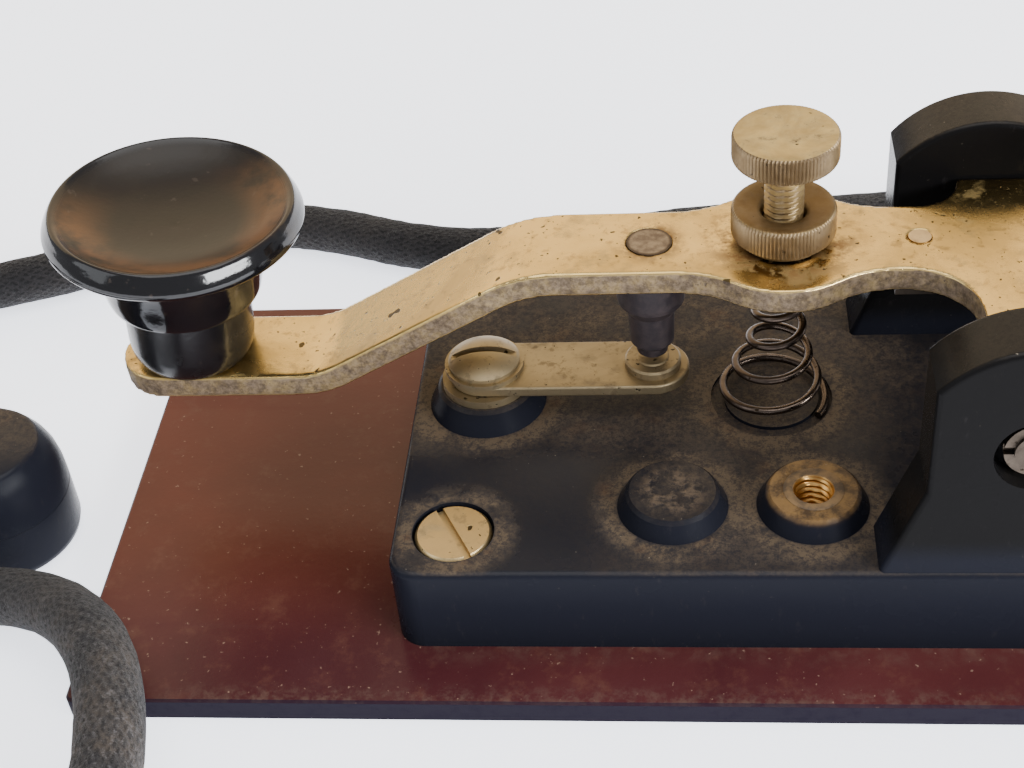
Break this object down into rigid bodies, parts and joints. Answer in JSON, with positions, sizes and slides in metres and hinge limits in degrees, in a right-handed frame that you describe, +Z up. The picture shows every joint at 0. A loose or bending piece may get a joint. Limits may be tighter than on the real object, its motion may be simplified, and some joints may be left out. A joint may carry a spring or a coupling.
{
  "type": "telegraph key",
  "caption": "Straight telegraph hand key with a dished knob and sprung lever on a moulded base and plate, with a braided cord and plug.",
  "frame": {"origin": "under the middle of the key and its plate, on the surface they stand on", "axes": "+Z up, +X along the lever from the knob to the cord end, +Y to the far side"},
  "size_m": [0.3707, 0.1467, 0.0554],
  "materials": {
    "plate_fibre": "glossy, dark red-brown",
    "black_moulding": "polished moulding, dusty in the corners",
    "black_rubber": "satin",
    "aged_brass": "dull, brown tarnish",
    "nickelled_brass": "worn bright plating over brass",
    "steel": "dull, lightly tarnished",
    "black_braid": "woven cotton braid, worn brown in places",
    "core_rubber": "satin",
    "tie_tape": "cotton tape"
  },
  "bodies": {
    "root": {"mounting_plate": "plate_fibre", "key_base": "black_moulding", "base_screws": "steel", "contact_strip": "aged_brass", "strip_spacer": "aged_brass", "strip_washer": "aged_brass", "strip_screw": "steel", "lower_contact": "nickelled_brass", "rear_anvil": "aged_brass", "pivot_screws": "steel", "pivot_lock_nuts": "steel", "terminal_insert": "aged_brass", "front_link": "aged_brass", "lever_link": "aged_brass", "link_nuts": "steel", "ring_lugs": "aged_brass", "terminal_stud_near": "nickelled_brass", "terminal_stud_far": "nickelled_brass", "terminal_washers": "aged_brass", "core_near": "core_rubber", "core_far": "core_rubber", "cord_clamp": "steel", "clamp_screws": "steel", "cord_from_key": "black_braid", "cord_to_plug": "black_braid", "cord_coil": "black_braid", "coil_tie": "tie_tape", "strain_relief": "black_rubber", "plug_body": "black_moulding", "plug_cover": "black_moulding", "plug_pins": "aged_brass", "plug_cores": "core_rubber", "plug_screw": "steel", "tension_spring": "steel"},
    "lever_arm": {"lever": "nickelled_brass", "pivot_block": "steel", "lever_rivets": "nickelled_brass", "knob": "black_moulding", "knob_screw": "steel", "upper_contact": "nickelled_brass"},
    "tension_adjuster": {"tension_screw": "nickelled_brass", "spring_seat": "nickelled_brass"},
    "tension_lock": {"tension_lock_nut": "nickelled_brass"},
    "gap_adjuster": {"gap_screw": "nickelled_brass"},
    "gap_lock": {"gap_lock_nut": "nickelled_brass"},
    "near_nut": {"terminal_nut_near": "nickelled_brass"},
    "far_nut": {"terminal_nut_far": "nickelled_brass"}
  },
  "joints": [
    {"name": "lever_pivot", "type": "hinge", "parent": "root", "child": "lever_arm", "pos_m": [0.0198, 0.002, 0.0336], "axis": [0, -1, 0], "range_deg": [0, 1.1], "stiffness_Nm_per_rad": 0.65, "springref_deg": -5.73, "deforming": ["tension_spring"]},
    {"name": "tension_screw_turn", "type": "hinge", "parent": "lever_arm", "child": "tension_adjuster", "pos_m": [-0.0059, 0.002, 0.045], "axis": [0, 0, 1], "continuous": true},
    {"name": "tension_lock_turn", "type": "hinge", "parent": "lever_arm", "child": "tension_lock", "pos_m": [-0.0059, 0.002, 0.043], "axis": [0, 0, 1], "continuous": true},
    {"name": "gap_screw_turn", "type": "hinge", "parent": "lever_arm", "child": "gap_adjuster", "pos_m": [0.042, 0.002, 0.045], "axis": [0, 0, 1], "continuous": true},
    {"name": "gap_lock_turn", "type": "hinge", "parent": "lever_arm", "child": "gap_lock", "pos_m": [0.042, 0.002, 0.043], "axis": [0, 0, 1], "continuous": true},
    {"name": "near_nut_turn", "type": "hinge", "parent": "root", "child": "near_nut", "pos_m": [0.047, -0.021, 0.024], "axis": [0, 0, 1], "continuous": true},
    {"name": "far_nut_turn", "type": "hinge", "parent": "root", "child": "far_nut", "pos_m": [0.047, -0.007, 0.024], "axis": [0, 0, 1], "continuous": true}
  ]
}
